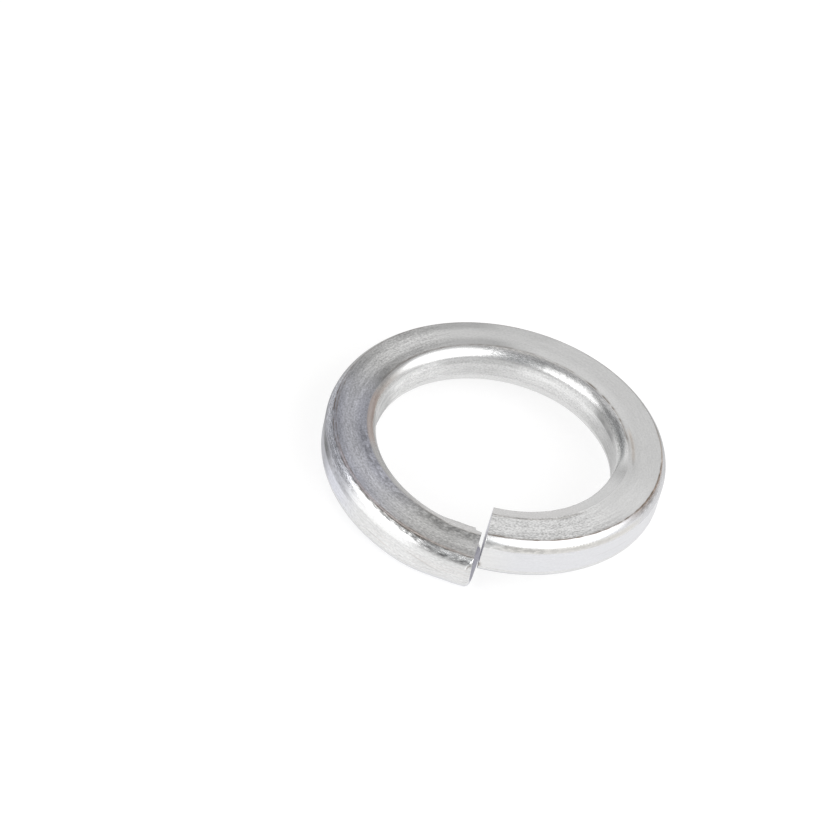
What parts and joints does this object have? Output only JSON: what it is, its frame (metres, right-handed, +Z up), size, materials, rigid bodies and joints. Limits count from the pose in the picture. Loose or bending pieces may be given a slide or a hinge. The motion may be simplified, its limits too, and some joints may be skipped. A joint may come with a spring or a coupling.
{
  "type": "spring lock washer",
  "caption": "Bright steel spring lock washer: a split ring wound as a shallow helix, which presses back under a bolt head or nut and keeps it tight.",
  "frame": {"origin": "on the bore axis, level with the lowest corner of the low end", "axes": "+Z up along the bore axis; the cut is on -Y, with the low end on its -X side and the high end on its +X side"},
  "size_m": [0.0234, 0.0234, 0.0053],
  "materials": {
    "plated_steel": "bright plated spring steel, satin faces and shiny rounded edges"
  },
  "bodies": {
    "root": {"spring_lock_washer": "plated_steel"}
  },
  "joints": []
}
